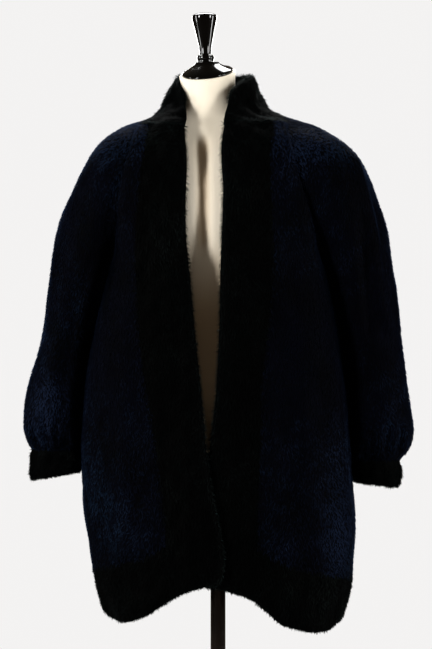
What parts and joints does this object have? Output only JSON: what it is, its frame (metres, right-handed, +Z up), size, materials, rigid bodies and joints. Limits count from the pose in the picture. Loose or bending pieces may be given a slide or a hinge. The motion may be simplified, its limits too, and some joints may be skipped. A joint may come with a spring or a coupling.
{
  "type": "fur coat on a limbless dress form with a stand",
  "caption": "Open knee-length raglan coat of sheared fur with broad bands, stand collar and gathered cuffs, hung on a covered limbless dress form on a round-based stand.",
  "frame": {"origin": "centre of the stand's round base, on the floor", "axes": "+Z up, front of the coat towards -Y, +X to the right of someone who faces the coat, which is the wearer's left"},
  "size_m": [0.7923, 0.4, 1.6388],
  "materials": {
    "fur_blue": "sheared fur dyed midnight blue",
    "fur_black": "black sheared fur",
    "form_cover": "cream jersey over a hard shell",
    "turned_wood": "black gloss lacquer",
    "pole_metal": "dark brown gloss enamel",
    "base_metal": "dark brown gloss enamel"
  },
  "bodies": {
    "root": {"front_right": "fur_blue", "front_left": "fur_blue", "back": "fur_blue", "sleeve_right": "fur_blue", "sleeve_left": "fur_blue", "band_right": "fur_black", "band_left": "fur_black", "collar": "fur_black", "cuff_right": "fur_black", "cuff_left": "fur_black", "hem_right": "fur_black", "hem_left": "fur_black", "hem_back": "fur_black", "form": "form_cover", "neck_cap": "turned_wood", "finial": "turned_wood", "pole": "pole_metal", "base": "base_metal"}
  },
  "joints": []
}
